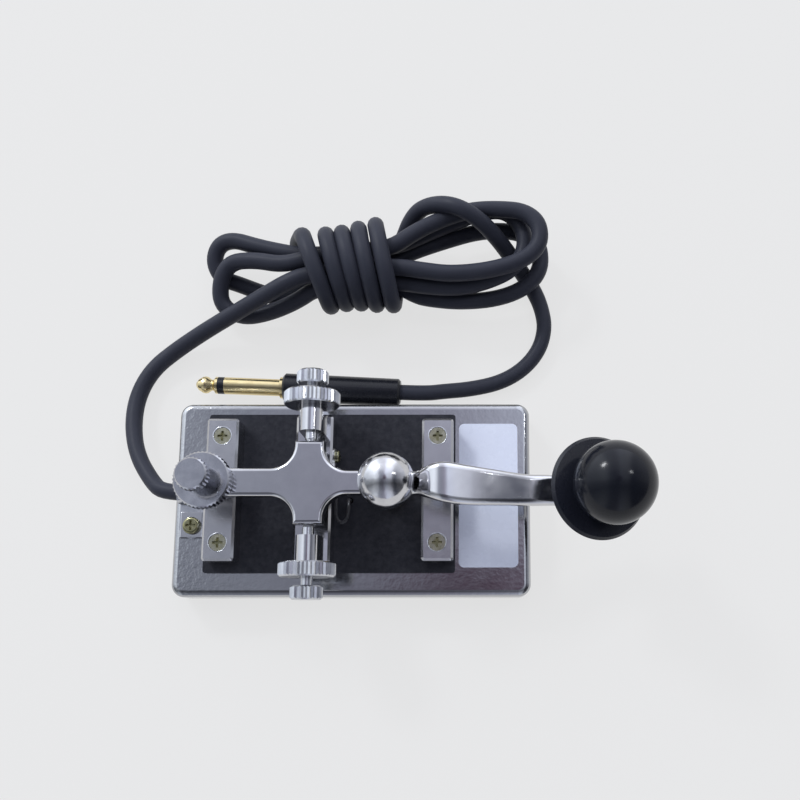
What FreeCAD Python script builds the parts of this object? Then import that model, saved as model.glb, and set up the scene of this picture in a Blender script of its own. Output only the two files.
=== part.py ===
import FreeCAD, Part
import math
import os

# Morse code trainer: a straight hand key with its cable and jack plug.
# Millimetres. Z is up, X runs from the cable end to the knob, Y across the base.
# The origin is the centre of the base on the surface it stands on.

V = FreeCAD.Vector
X_AXIS = V(1, 0, 0)
Y_AXIS = V(0, 1, 0)
Z_AXIS = V(0, 0, 1)

# Clearances
running = 0.05
slack = 0.1
touch = 0.05

# Base casting, cover and pad
base_length = 127.0
base_width = 70.0
base_height = 12.0
base_corner = 4.5
base_edge = 2.4
base_wall = 4.0
base_roof = 4.0
pad_thickness = 1.5
pad_inset = 1.0
cover_thickness = 1.0
cover_lap = 2.0
boss_radius = 3.5
boss_inset = 9.0
screw_slot_half_length = 1.4
screw_slot_half_width = 0.3
screw_slot_depth = 0.5
blind_spare = 0.5
cover_screw_radius = 1.25
cover_screw_head = 2.3
cover_screw_length = 6.0

# Insulating plate and contact bars
line_y = 1.8
plate_length = base_length - 38.4
plate_width = 57.0
plate_thickness = 1.5
plate_x = -7.6
bar_length = 50.0
bar_width = 11.0
bar_height = 9.0
bar_chamfer = 0.8
bar_corner = 1.1
rear_bar_x = plate_x - plate_length / 2 + 7.3
front_bar_x = plate_x + plate_length / 2 - 6.0
bar_screw_pitch = 37.4
m3_radius = 1.5
m3_head_radius = 3.05
m3_flat_radius = 2.9
m3_flat_sunk = 0.13
cross_reach = 1.75
cross_half_width = 0.42
cross_depth = 1.1
m3_head_height = 2.0
m3_nut_flats = 5.5
m3_nut_height = 2.4
anvil_radius = 2.5
anvil_thickness = 0.9
anvil_proud = 0.3
anvil_edge = 0.2
bush_radius = 2.6
bush_flange_radius = 4.2
bush_flange = 0.8
screw_tail = 0.8

# Pivot bracket
pivot_x = -11.5
dome_x = front_bar_x - 16.2
pivot_z = 35.0
bracket_width = 12.8
bracket_set = -0.9
bracket_corner = 1.5
post_width = 8.0
post_depth = 8.8
post_gap = 35.2
bracket_screw_pitch = 30.0
bracket_screw_depth = 7.0
lug_offset = 12.0
lug_z = 20.0
lug_radius = 2.9
lug_thickness = 0.6
lug_screw_radius = 1.25
lug_screw_head = 2.2
lug_screw_length = 5.0
lug_screw_head_height = 1.5
lug_tail_half_width = 1.2
lug_tail_length = 2.0
lug_crimp_length = 3.0
lug_crimp_start = 4.4

# Lever
lever_thickness = 6.0
lever_edge = 1.2
rear_arm_width = 9.4
front_arm_width = 7.9
tip_width = 9.8
tip_span = 28.0
cross_fillet = 8.0
rear_screw_x = rear_bar_x - 1.0
rear_arm_end = rear_screw_x - 5.9
front_arm_end = dome_x + 7.5
handle_sections = [
    # distance from the dome, set to the side, height of the middle, width, thickness
    (3.5, 0.0, 34.8, 7.6, 5.6),
    (10.0, 0.0, 34.9, 8.2, 5.6),
    (13.8, 0.0, 37.7, 10.9, 5.6),
    (17.9, -0.2, 39.1, 13.2, 5.4),
    (23.5, -0.9, 38.7, 13.7, 5.2),
    (31.5, -1.5, 36.8, 12.8, 5.0),
    (40.5, -1.8, 34.0, 11.5, 5.0),
    (49.5, -1.9, 31.0, 10.6, 5.2),
    (58.5, -2.0, 28.9, 9.8, 5.4),
    (67.5, -2.1, 28.0, 9.4, 5.4),
]
handle_round = 2.2

# Pivot and contact screws, M4 with knurled heads and lock nuts
m4_radius = 2.0
knob_head_radius = 5.4
knob_head_height = 4.6
knob_head_teeth = 26
nut_radius = 9.5
nut_height = 4.9
nut_teeth = 44
knurl_depth = 0.42
knurl_chamfer = 0.7
pivot_head_reach = 34.1
cone_length = 2.6
cone_tip_radius = 0.35
cone_reach = tip_span / 2 - 1.6
cup_radius = 2.2
cup_length = 3.6
rear_head_z = 49.7

# Front contact, spring and its dome
contact_gap = 1.2
stud_radius = 2.0
stud_tip_radius = 1.5
stud_tip = 1.6
stud_root = 1.8
dome_radius = 9.35
dome_skirt = 3.0
stem_end_z = 29.0
seat_radius = 4.6
seat_thickness = 1.0
seat_spigot_radius = 2.4
seat_spigot = 1.6
spring_radius = 3.4
spring_wire = 0.9
spring_turns = 6
spring_cup_radius = 5.4
spring_cup_floor = 0.9
spring_cup_wall = 0.9
spring_cup_height = 2.8

# Knob
knob_x = dome_x + 67.8
knob_set = -2.1
knob_z = 28.0
knob_tilt = 18.0
knob_seat_radius = 5.4
knob_seat_half = 3.0
skirt_radius = 17.4
skirt_rim = 2.4
skirt_hub_radius = 7.0
skirt_foot = 1.6
skirt_height = 7.5
ball_radius = 13.7
ball_height = 21.0
knob_screw_reach = 18.0
knob_screw_head = 3.6
knob_screw_head_height = 2.2

# Blank label
label_length = 52.0
label_width = 21.1
label_thickness = 0.2
label_x = base_length / 2 - 15.0
label_y = 1.2
label_corner = 2.0

# Cable, its clip and inner wires
cable_diameter = 5.5
cable_y = 1.4
clip_x = 7.0 - base_length / 2
clip_width = 9.0
clip_thickness = 0.9
clip_screw_y = -10.0
clip_screw_length = 5.5
sheath_end_x = clip_x + 3.1
wire_hole_x = sheath_end_x + 2.15
wire_hole_radius = 1.9
wire_radius = 0.6
wire_offset = 0.75
wire_run_z = 6.8
wire_spare = 0.01
wire_loop_out = 0.3
wire_loop_in = 2.3
wire_loop_reach = 8.8
wire_loop_rise = 0.6
wire_end = 2.5
front_wire_bend_x = 25.0
front_wire_bend_y = 9.0
front_wire_start = 4.4
front_wire_end = 0.4
bracket_hole_offset = -3.0
bracket_hole_x = -0.6
bracket_hole_radius = 1.1

# Jack plug, a 6.35 mm mono plug lying on the surface
plug_tip_x = -60.5
plug_tip_y = 44.3
plug_turn = -2.3
plug_radius = 3.175
plug_shank = 31.75
barrel_length = 44.7
barrel_radius = 5.45
barrel_end_radius = 5.0
barrel_bore = 4.4
ring_start = 8.4
ring_end = 10.9
tip_rod_radius = 1.2
sleeve_bore = 2.2
collar_radius = 3.975
collar_length = 1.2
thread_radius = 4.0
thread_length = 6.0
tip_rod_spare = 4.0
insulator_spare = 2.0
barrel_edge = 0.8
barrel_grip = 8.0

# Heights that follow from the sizes above
base_bottom = pad_thickness
base_top = base_bottom + base_height
roof_under = base_top - base_roof
plate_top = base_top + plate_thickness
bar_top = plate_top + bar_height
anvil_top = bar_top + anvil_proud
lever_top = pivot_z + lever_thickness / 2
lever_under = pivot_z - lever_thickness / 2
cable_radius = cable_diameter / 2
cable_z = base_top + cable_radius + touch
floor_z = cable_radius + slack
post_inner = post_gap / 2
post_outer = post_inner + post_depth
bracket_middle_x = pivot_x + bracket_set
bracket_face_x = bracket_middle_x + bracket_width / 2
spring_foot_z = plate_top + spring_cup_floor


# Shared shapes

def rod(radius, length, start, direction):
    return Part.makeCylinder(radius, length, start, direction)


def block(x0, x1, y0, y1, z0, z1, corner=0.0):
    """A box, its upright edges rounded to the given radius."""
    solid = Part.makeBox(x1 - x0, y1 - y0, z1 - z0, V(x0, y0, z0))
    if corner <= 0:
        return solid
    upright = [e for e in solid.Edges if abs(e.tangentAt(e.FirstParameter).z) > 0.9]
    return solid.makeFillet(corner, upright)


def edges_at_height(solid, height):
    """The edges that lie wholly in the level plane at this height."""
    found = []
    for edge in solid.Edges:
        box = edge.BoundBox
        if abs(box.ZMin - height) < 1e-4 and abs(box.ZMax - height) < 1e-4:
            found.append(edge)
    return found


def turned(profile, start, direction):
    """Revolve (radius, height) points about an axis from start along direction."""
    points = [V(r, 0, h) for r, h in profile]
    face = Part.Face(Part.makePolygon(points + [points[0]]))
    solid = face.revolve(V(0, 0, 0), Z_AXIS, 360)
    return placed(solid, start, direction)


def placed(solid, start, direction):
    """Stand a shape that was made along Z on start, pointing along direction."""
    shape = solid.copy()
    shape.Placement = FreeCAD.Placement(start, FreeCAD.Rotation(Z_AXIS, direction))
    return shape


def knurled_disc(radius, height, teeth, bore):
    """A straight-knurled disc with chamfered rims, standing on the origin."""
    points = []
    for i in range(2 * teeth):
        r = radius if i % 2 == 0 else radius - knurl_depth
        angle = math.pi * i / teeth
        points.append(V(r * math.cos(angle), r * math.sin(angle), 0))
    star = Part.Face(Part.makePolygon(points + [points[0]])).extrude(V(0, 0, height))
    c = knurl_chamfer
    blank = turned([(0, 0), (radius - c, 0), (radius, c), (radius, height - c),
                    (radius - c, height), (0, height)], V(0, 0, 0), Z_AXIS)
    disc = star.common(blank)
    if bore > 0:
        disc = disc.cut(rod(bore, height, V(0, 0, 0), Z_AXIS))
    return disc


def pan_screw(head_radius, head_height, shank_radius, length, start, direction):
    """A cross-recessed pan screw: the head's underside on start, the shank away from direction."""
    head = rod(head_radius, head_height, V(0, 0, 0), Z_AXIS)
    head = head.makeFillet(head_height * 0.45, edges_at_height(head, head_height))
    slot = head_radius * 0.58
    width = head_radius * 0.13
    deep = head_height * 0.6
    for half_x, half_y in ((slot, width), (width, slot)):
        head = head.cut(block(-half_x, half_x, -half_y, half_y, head_height - deep, head_height + 1))
    shank = rod(shank_radius, length, V(0, 0, -length), Z_AXIS)
    return placed(head.fuse(shank), start, direction)


def flat_screw(top):
    """A cross-recessed flat-head screw whose head sits just below top, the shank down to the nut."""
    high = top.z - m3_flat_sunk
    head_height = m3_flat_radius - m3_radius
    head = Part.makeCone(m3_radius, m3_flat_radius, head_height, V(top.x, top.y, high - head_height), Z_AXIS)
    foot = roof_under - bush_flange - lug_thickness - m3_nut_height - screw_tail
    screw = head.fuse(rod(m3_radius, high - head_height - foot, V(top.x, top.y, foot), Z_AXIS))
    for half_x, half_y in ((cross_reach, cross_half_width), (cross_half_width, cross_reach)):
        screw = screw.cut(block(top.x - half_x, top.x + half_x, top.y - half_y, top.y + half_y,
                                high - cross_depth, high + 1))
    return screw


def hexagon_nut(flats, height, bore, centre):
    radius = flats / math.sqrt(3)
    points = [V(radius * math.cos(math.pi * i / 3), radius * math.sin(math.pi * i / 3), 0) for i in range(7)]
    nut = Part.Face(Part.makePolygon(points)).extrude(V(0, 0, height))
    nut.translate(centre)
    return nut.cut(rod(bore, height, centre, Z_AXIS))


# Tubes along a route of straight runs joined by tangent arcs

def rounded_route(points):
    """Edges of the route, its length, and the radius at each turn."""
    edges = []
    radii = []
    total = 0.0
    start = points[0]
    for before, corner, after in zip(points, points[1:], points[2:]):
        back = (before - corner).normalize()
        ahead = (after - corner).normalize()
        turn = math.pi - back.getAngle(ahead)
        reach = 0.45 * min((before - corner).Length, (after - corner).Length)
        radius = reach / math.tan(turn / 2)
        first = corner + back * reach
        last = corner + ahead * reach
        inward = (back + ahead).normalize()
        middle = corner + inward * (radius / math.cos(turn / 2) - radius)
        edges.append(Part.LineSegment(start, first).toShape())
        edges.append(Part.Arc(first, middle, last).toShape())
        total += (first - start).Length + radius * turn
        radii.append(round(radius, 1))
        start = last
    edges.append(Part.LineSegment(start, points[-1]).toShape())
    total += (points[-1] - start).Length
    return edges, total, radii


def tube_on(edges, radius):
    wire = Part.Wire(edges)
    first = edges[0]
    start = first.valueAt(first.FirstParameter)
    ahead = first.tangentAt(first.FirstParameter)
    ring = Part.Wire([Part.makeCircle(radius, start, ahead)])
    return wire.makePipeShell([ring], True, False)


def tube_along(points, radius, name):
    edges, length, radii = rounded_route(points)
    tube = tube_on(edges, radius)
    share = tube.Volume / (math.pi * radius ** 2 * length)
    print(name, "length", round(length, 1), "radii", radii, "volume over section times length", round(share, 4))
    return tube


# Base

def base():
    half_l = base_length / 2
    half_w = base_width / 2
    body = block(-half_l, half_l, -half_w, half_w, base_bottom, base_top, base_corner)
    body = body.makeFillet(base_edge, edges_at_height(body, base_top))
    inner_l = half_l - base_wall
    inner_w = half_w - base_wall
    body = body.cut(block(-inner_l, inner_l, -inner_w, inner_w, base_bottom, roof_under, base_corner / 2))
    lip_l = inner_l + cover_lap
    lip_w = inner_w + cover_lap
    body = body.cut(block(-lip_l, lip_l, -lip_w, lip_w, base_bottom, base_bottom + cover_thickness, base_corner / 2))
    for x, y in boss_places():
        boss = rod(boss_radius, roof_under - base_bottom - cover_thickness,
                   V(x, y, base_bottom + cover_thickness), Z_AXIS)
        body = body.fuse(boss)
        body = body.cut(rod(cover_screw_radius + running, cover_screw_length,
                            V(x, y, base_bottom + cover_thickness), Z_AXIS))
    for x, y in bar_screw_places() + bracket_screw_places():
        body = body.cut(rod(bush_radius, base_roof, V(x, y, roof_under), Z_AXIS))
    body = body.cut(rod(wire_hole_radius, base_roof, V(wire_hole_x, cable_y, roof_under), Z_AXIS))
    body = body.cut(rod(bracket_hole_radius, base_roof, V(bracket_hole_x, line_y + bracket_hole_offset, roof_under),
                        Z_AXIS))
    body = body.cut(rod(m3_radius + running, base_roof, V(clip_x, clip_screw_y, roof_under), Z_AXIS))
    return body


def boss_places():
    x = base_length / 2 - boss_inset
    y = base_width / 2 - boss_inset
    return [(-x, -y), (-x, y), (x, -y), (x, y)]


def bar_screw_places():
    half = bar_screw_pitch / 2
    return [(x, line_y + s * half) for x in (rear_bar_x, front_bar_x) for s in (-1, 1)]


def bracket_screw_places():
    half = bracket_screw_pitch / 2
    return [(pivot_x, line_y + s * half) for s in (-1, 1)]


def bottom_cover():
    half_l = base_length / 2 - base_wall + cover_lap - slack
    half_w = base_width / 2 - base_wall + cover_lap - slack
    sheet = block(-half_l, half_l, -half_w, half_w, base_bottom, base_bottom + cover_thickness, base_corner / 2)
    for x, y in boss_places():
        sheet = sheet.cut(countersink(x, y, slack))
    return sheet


def countersink(x, y, spare):
    return Part.makeCone(cover_screw_head + spare, cover_screw_radius + spare, cover_thickness,
                         V(x, y, base_bottom), Z_AXIS)


def bottom_cover_screws():
    screws = []
    for x, y in boss_places():
        screw = countersink(x, y, 0.0)
        screw = screw.fuse(rod(cover_screw_radius, cover_screw_length,
                               V(x, y, base_bottom + cover_thickness / 2), Z_AXIS))
        slot = block(x - screw_slot_half_length, x + screw_slot_half_length,
                     y - screw_slot_half_width, y + screw_slot_half_width, base_bottom, base_bottom + screw_slot_depth)
        screws.append(screw.cut(slot))
    return Part.Compound(screws)


def rubber_pad():
    half_l = base_length / 2 - pad_inset
    half_w = base_width / 2 - pad_inset
    return block(-half_l, half_l, -half_w, half_w, 0, pad_thickness, base_corner - pad_inset)


# Plate, bars and their fixings

def insulating_plate():
    half_l = plate_length / 2
    half_w = plate_width / 2
    plate = block(plate_x - half_l, plate_x + half_l, line_y - half_w, line_y + half_w, base_top, plate_top, 1.0)
    for x, y in bar_screw_places() + bracket_screw_places():
        plate = plate.cut(rod(m3_radius + slack, plate_thickness, V(x, y, base_top), Z_AXIS))
    plate = plate.cut(rod(wire_hole_radius, plate_thickness, V(wire_hole_x, cable_y, base_top), Z_AXIS))
    return plate.cut(rod(bracket_hole_radius, plate_thickness,
                         V(bracket_hole_x, line_y + bracket_hole_offset, base_top), Z_AXIS))


def contact_bar(centre_x, anvil_x):
    half_w = bar_width / 2
    half_l = bar_length / 2
    bar = block(centre_x - half_w, centre_x + half_w, line_y - half_l, line_y + half_l, plate_top, bar_top,
                bar_corner)
    bar = bar.makeChamfer(bar_chamfer, edges_at_height(bar, bar_top))
    sink = m3_flat_radius + m3_flat_sunk - m3_radius
    for s in (-1, 1):
        y = line_y + s * bar_screw_pitch / 2
        bar = bar.cut(rod(m3_radius + slack, bar_height, V(centre_x, y, plate_top), Z_AXIS))
        bar = bar.cut(Part.makeCone(m3_radius + touch, m3_radius + sink + touch, sink,
                                    V(centre_x, y, bar_top - sink), Z_AXIS))
    return bar.cut(rod(anvil_radius, anvil_thickness, V(anvil_x, line_y, anvil_top - anvil_thickness), Z_AXIS))


def anvil(x):
    disc = rod(anvil_radius, anvil_thickness, V(x, line_y, anvil_top - anvil_thickness), Z_AXIS)
    return disc.makeChamfer(anvil_edge, edges_at_height(disc, anvil_top))


def contact_bar_screws():
    return Part.Compound([flat_screw(V(x, y, bar_top)) for x, y in bar_screw_places()])


def lug_place():
    """The bar screw that also holds the lug of the front bar wire."""
    return front_bar_x, line_y + bar_screw_pitch / 2


def washer(x, y):
    under = roof_under - bush_flange - lug_thickness
    ring = rod(m3_head_radius, lug_thickness, V(x, y, under), Z_AXIS)
    return ring.cut(rod(m3_radius + running, lug_thickness, V(x, y, under), Z_AXIS))


def contact_bar_washers():
    return Part.Compound([washer(x, y) for x, y in bar_screw_places() if (x, y) != lug_place()])


def contact_bar_nuts():
    under = roof_under - bush_flange - lug_thickness - m3_nut_height
    return Part.Compound([hexagon_nut(m3_nut_flats, m3_nut_height, m3_radius + running, V(x, y, under))
                          for x, y in bar_screw_places()])


def insulating_bushes():
    bushes = []
    for x, y in bar_screw_places() + bracket_screw_places():
        tube = rod(bush_radius, base_roof, V(x, y, roof_under), Z_AXIS)
        tube = tube.fuse(rod(bush_flange_radius, bush_flange, V(x, y, roof_under - bush_flange), Z_AXIS))
        bushes.append(tube.cut(rod(m3_radius + slack, base_roof + bush_flange, V(x, y, roof_under - bush_flange),
                                   Z_AXIS)))
    return Part.Compound(bushes)


# Pivot bracket: a bar with two round-topped posts

def pivot_bracket():
    half_w = bracket_width / 2
    bar = block(bracket_middle_x - half_w, bracket_middle_x + half_w, line_y - post_outer, line_y + post_outer,
                plate_top, bar_top, bracket_corner)
    bar = bar.makeChamfer(bar_chamfer, edges_at_height(bar, bar_top))
    for s in (-1, 1):
        near = line_y + s * post_inner
        far = line_y + s * post_outer
        low, high = min(near, far), max(near, far)
        half_p = post_width / 2
        post = block(pivot_x - half_p, pivot_x + half_p, low, high, bar_top - bar_chamfer * 2, pivot_z)
        post = post.fuse(rod(half_p, high - low, V(pivot_x, low, pivot_z), Y_AXIS))
        bar = bar.fuse(post)
    bar = bar.removeSplitter()
    bar = bar.cut(rod(m4_radius + running, 2 * post_outer, V(pivot_x, line_y - post_outer, pivot_z), Y_AXIS))
    for x, y in bracket_screw_places():
        bar = bar.cut(rod(m3_radius + running, bracket_screw_depth + blind_spare, V(x, y, plate_top), Z_AXIS))
    return bar.cut(rod(lug_screw_radius + running, lug_screw_length + blind_spare,
                       V(bracket_face_x, line_y + lug_offset, lug_z), -X_AXIS))


def bracket_screws():
    length = bush_flange + base_roof + plate_thickness + bracket_screw_depth
    return Part.Compound([pan_screw(m3_head_radius, m3_head_height, m3_radius, length,
                                    V(x, y, roof_under - bush_flange), -Z_AXIS) for x, y in bracket_screw_places()])


def bracket_lug():
    y = line_y + lug_offset
    ring = rod(lug_radius, lug_thickness, V(bracket_face_x, y, lug_z), X_AXIS)
    tail = block(bracket_face_x, bracket_face_x + lug_thickness, y - lug_radius - lug_tail_length, y,
                 lug_z - lug_tail_half_width, lug_z + lug_tail_half_width)
    x = bracket_face_x + wire_radius + lug_thickness
    start = V(x, y - lug_radius - lug_crimp_start, lug_z)
    lug = ring.fuse(tail).fuse(rod(wire_radius + lug_thickness, lug_crimp_length, start, Y_AXIS))
    lug = lug.cut(rod(wire_radius, lug_crimp_length, start, Y_AXIS))
    return lug.cut(rod(lug_screw_radius + running, lug_thickness, V(bracket_face_x, y, lug_z), X_AXIS))


def bracket_lug_screw():
    start = V(bracket_face_x + lug_thickness, line_y + lug_offset, lug_z)
    return pan_screw(lug_screw_head, lug_screw_head_height, lug_screw_radius, lug_screw_length, start, X_AXIS)


# Lever

def lever_section(along, aside, z, width, thickness):
    """A rounded rectangle across the handle."""
    x = dome_x + along
    corner = min(handle_round, thickness * 0.42)
    half_w = width / 2
    half_t = thickness / 2
    edges = []
    diagonal = corner * math.sqrt(0.5)
    for quarter in range(4):
        side_y, side_z = ((1, 1), (-1, 1), (-1, -1), (1, -1))[quarter]
        centre = V(x, line_y + aside + side_y * (half_w - corner), z + side_z * (half_t - corner))
        on_y = centre + V(0, side_y * corner, 0)
        on_z = centre + V(0, 0, side_z * corner)
        middle = centre + V(0, side_y * diagonal, side_z * diagonal)
        ends = (on_y, on_z) if quarter % 2 == 0 else (on_z, on_y)
        edges.append((ends[0], middle, ends[1]))
    shapes = []
    for i, (first, middle, last) in enumerate(edges):
        shapes.append(Part.Arc(first, middle, last).toShape())
        following = edges[(i + 1) % 4][0]
        shapes.append(Part.LineSegment(last, following).toShape())
    return Part.Wire(shapes)


def lever():
    rear = block(rear_arm_end, pivot_x, line_y - rear_arm_width / 2, line_y + rear_arm_width / 2,
                 lever_under, lever_top)
    front = block(pivot_x, front_arm_end, line_y - front_arm_width / 2, line_y + front_arm_width / 2,
                  lever_under, lever_top)
    across = block(pivot_x - tip_width / 2, pivot_x + tip_width / 2, line_y - tip_span / 2, line_y + tip_span / 2,
                   lever_under, lever_top)
    cross = rear.fuse(front).fuse(across).removeSplitter()
    inner = []
    for edge in cross.Edges:
        box = edge.BoundBox
        upright = box.ZLength > lever_thickness * 0.9
        beside_arm = abs(abs(box.XMin - pivot_x) - tip_width / 2) < 0.01
        if upright and beside_arm and abs(box.YMin - line_y) < tip_span / 2 - 0.1:
            inner.append(edge)
    cross = cross.makeFillet(cross_fillet, inner)
    ends = [e for e in cross.Edges if e.BoundBox.XMax < rear_arm_end + 0.01 and e.BoundBox.ZLength > 1]
    cross = cross.makeFillet(rear_arm_width * 0.48, ends)
    rims = edges_at_height(cross, lever_top) + edges_at_height(cross, lever_under)
    cross = cross.makeFillet(lever_edge, rims)
    handle = Part.makeLoft([lever_section(*section) for section in handle_sections], True, False)
    body = cross.fuse(handle)
    seat_start = knob_point(-knob_seat_half)
    body = body.fuse(rod(knob_seat_radius, 2 * knob_seat_half, seat_start, knob_direction()))
    for side in (-1, 1):
        face = knob_point(side * knob_seat_half)
        body = body.cut(rod(knob_seat_radius + slack, knob_seat_half, face, knob_direction() * side))
    body = body.cut(rod(m4_radius + running, 4 * knob_seat_half, knob_point(-2 * knob_seat_half), knob_direction()))
    body = body.cut(rod(m4_radius + running, lever_thickness, V(rear_screw_x, line_y, lever_under), Z_AXIS))
    body = body.cut(rod(m4_radius + running, lever_thickness, V(dome_x, line_y, lever_under), Z_AXIS))
    stud_top = section_under(front_bar_x) + stud_root
    body = body.cut(rod(stud_radius, stud_top - plate_top, V(front_bar_x, line_y, plate_top), Z_AXIS))
    for s in (-1, 1):
        face = V(pivot_x, line_y + s * tip_span / 2, pivot_z)
        body = body.cut(rod(cup_radius, cup_length, face, Y_AXIS * -s))
    return body.removeSplitter()


def section_under(x):
    """Height of the handle's underside at x, read from its sections."""
    for (x0, _, z0, _, t0), (x1, _, z1, _, t1) in zip(handle_sections, handle_sections[1:]):
        if x0 <= x - dome_x <= x1:
            share = (x - dome_x - x0) / (x1 - x0)
            return (z0 - t0 / 2) * (1 - share) + (z1 - t1 / 2) * share
    return lever_under


def pivot_cups():
    cups = []
    for s in (-1, 1):
        inner = V(pivot_x, line_y + s * (tip_span / 2 - cup_length), pivot_z)
        outward = Y_AXIS * s
        cup = rod(cup_radius, cup_length, inner, outward)
        hollow = cone_solid(s, running)
        cups.append(cup.cut(hollow))
    return Part.Compound(cups)


def cone_solid(s, spare):
    """The pointed end of a pivot screw, made larger all over by spare."""
    tip = V(pivot_x, line_y + s * (cone_reach - spare), pivot_z)
    return Part.makeCone(cone_tip_radius + spare, m4_radius + spare, cone_length, tip, Y_AXIS * s)


def front_contact_stud():
    low = anvil_top + contact_gap
    root = section_under(front_bar_x) + stud_root
    stud = rod(stud_radius, root - low - stud_tip, V(front_bar_x, line_y, low + stud_tip), Z_AXIS)
    tip = rod(stud_tip_radius, stud_tip, V(front_bar_x, line_y, low), Z_AXIS)
    tip = tip.makeFillet(0.5, edges_at_height(tip, low))
    return stud.fuse(tip)


# Screws and lock nuts

def pivot_screw(s):
    outward = Y_AXIS * s
    cone = cone_solid(s, 0.0)
    cone_end = cone_reach + cone_length
    shank = rod(m4_radius, pivot_head_reach - cone_end, V(pivot_x, line_y + s * cone_end, pivot_z), outward)
    head = placed(knurled_disc(knob_head_radius, knob_head_height, knob_head_teeth, 0),
                  V(pivot_x, line_y + s * pivot_head_reach, pivot_z), outward)
    return cone.fuse(shank).fuse(head)


def pivot_lock_nut(s):
    start = V(pivot_x, line_y + s * (post_outer + touch), pivot_z)
    return placed(knurled_disc(nut_radius, nut_height, nut_teeth, m4_radius + running), start, Y_AXIS * s)


def rear_contact_screw():
    low = anvil_top + touch
    shank = rod(m4_radius, rear_head_z - low, V(rear_screw_x, line_y, low), Z_AXIS)
    shank = shank.makeChamfer(0.5, edges_at_height(shank, low))
    head = knurled_disc(knob_head_radius, knob_head_height, knob_head_teeth, 0)
    head.translate(V(rear_screw_x, line_y, rear_head_z))
    return shank.fuse(head)


def rear_lock_nut():
    nut = knurled_disc(nut_radius, nut_height, nut_teeth, m4_radius + running)
    nut.translate(V(rear_screw_x, line_y, lever_top + touch))
    return nut


# Spring, its dome and seats

def spring_cap():
    foot = lever_top + touch
    dome = turned([(0, foot), (dome_radius - 0.6, foot), (dome_radius, foot + 0.6), (dome_radius, foot + dome_skirt),
                   (0, foot + dome_skirt)], V(dome_x, line_y, 0), Z_AXIS)
    ball = Part.makeSphere(dome_radius, V(dome_x, line_y, foot + dome_skirt))
    upper = block(dome_x - dome_radius, dome_x + dome_radius, line_y - dome_radius, line_y + dome_radius,
                  foot + dome_skirt, foot + dome_skirt + dome_radius)
    stem = rod(m4_radius, foot - stem_end_z + 0.5, V(dome_x, line_y, stem_end_z), Z_AXIS)
    return dome.fuse(ball.common(upper)).fuse(stem).removeSplitter()


def spring_seat():
    top = stem_end_z - touch
    seat = rod(seat_radius, seat_thickness, V(dome_x, line_y, top - seat_thickness), Z_AXIS)
    spigot = rod(seat_spigot_radius, seat_spigot, V(dome_x, line_y, top - seat_thickness - seat_spigot), Z_AXIS)
    return seat.fuse(spigot)


def spring_cup():
    cup = rod(spring_cup_radius, spring_cup_height, V(dome_x, line_y, plate_top), Z_AXIS)
    return cup.cut(rod(spring_cup_radius - spring_cup_wall, spring_cup_height,
                       V(dome_x, line_y, spring_foot_z), Z_AXIS))


def return_spring():
    low = spring_foot_z + spring_wire / 2
    high = stem_end_z - touch - seat_thickness - spring_wire / 2
    rise = (high - low) / spring_turns
    knots = []
    for quarter in range(4 * spring_turns + 1):
        angle = quarter * math.pi / 2
        point = V(dome_x + spring_radius * math.cos(angle), line_y + spring_radius * math.sin(angle),
                  low + rise * quarter / 4)
        heading = V(-spring_radius * math.sin(angle), spring_radius * math.cos(angle), rise / (2 * math.pi))
        knots.append((point, heading.normalize()))
    edges, length = biarc_route(knots)
    print("return_spring length", round(length, 1), "gap between turns", round(rise - spring_wire, 2))
    return tube_on(edges, spring_wire / 2)


# Routes through knots, each a point with a heading, joined by pairs of tangent arcs

def arc_or_line(start, corner, end):
    """The arc from start to end that is tangent to both legs of the corner, and its length."""
    chord = end - start
    middle = (start + end) * 0.5
    bulge = corner - middle
    if bulge.Length < 1e-6:
        return Part.LineSegment(start, end).toShape(), chord.Length
    half_turn = math.atan2(bulge.Length, chord.Length / 2)
    sag = chord.Length / 2 * math.tan(half_turn / 2)
    through = middle + bulge * (sag / bulge.Length)
    radius = chord.Length / 2 / math.sin(half_turn)
    return Part.Arc(start, through, end).toShape(), radius * 2 * half_turn


def biarc_route(knots):
    edges = []
    total = 0.0
    for (p0, t0), (p1, t1) in zip(knots, knots[1:]):
        span = p1 - p0
        both = t0 + t1
        opening = 2 * (1 - t0.dot(t1))
        if opening < 1e-9:
            leg = span.dot(span) / (4 * span.dot(t0))
        else:
            along = span.dot(both)
            leg = (math.sqrt(along ** 2 + opening * span.dot(span)) - along) / opening
        first = p0 + t0 * leg
        second = p1 - t1 * leg
        join = (first + second) * 0.5
        if (span.cross(t0)).Length < 1e-6 and (span.cross(t1)).Length < 1e-6:
            edges.append(Part.LineSegment(p0, p1).toShape())
            total += span.Length
            continue
        for start, corner, end in ((p0, first, join), (join, second, p1)):
            edge, length = arc_or_line(start, corner, end)
            edges.append(edge)
            total += length
    return edges, total


# Knob

def knob_direction():
    tilt = math.radians(knob_tilt)
    return V(math.sin(tilt), 0, math.cos(tilt))


def knob_point(along):
    return V(knob_x, line_y + knob_set, knob_z) + knob_direction() * along


def knob_skirt():
    low = knob_seat_half
    top = low + skirt_height
    bore = m4_radius + slack
    profile = [(bore, low), (skirt_hub_radius, low), (skirt_hub_radius + 0.8, low + skirt_foot),
               (skirt_radius - 1.4, top - skirt_rim), (skirt_radius, top - skirt_rim * 0.5),
               (skirt_radius - 0.9, top), (ball_foot_radius() + 0.6, top), (bore, top)]
    return turned(profile, knob_point(0), knob_direction())


def ball_foot_radius():
    drop = ball_height - knob_seat_half - skirt_height
    return math.sqrt(ball_radius ** 2 - drop ** 2)


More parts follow.
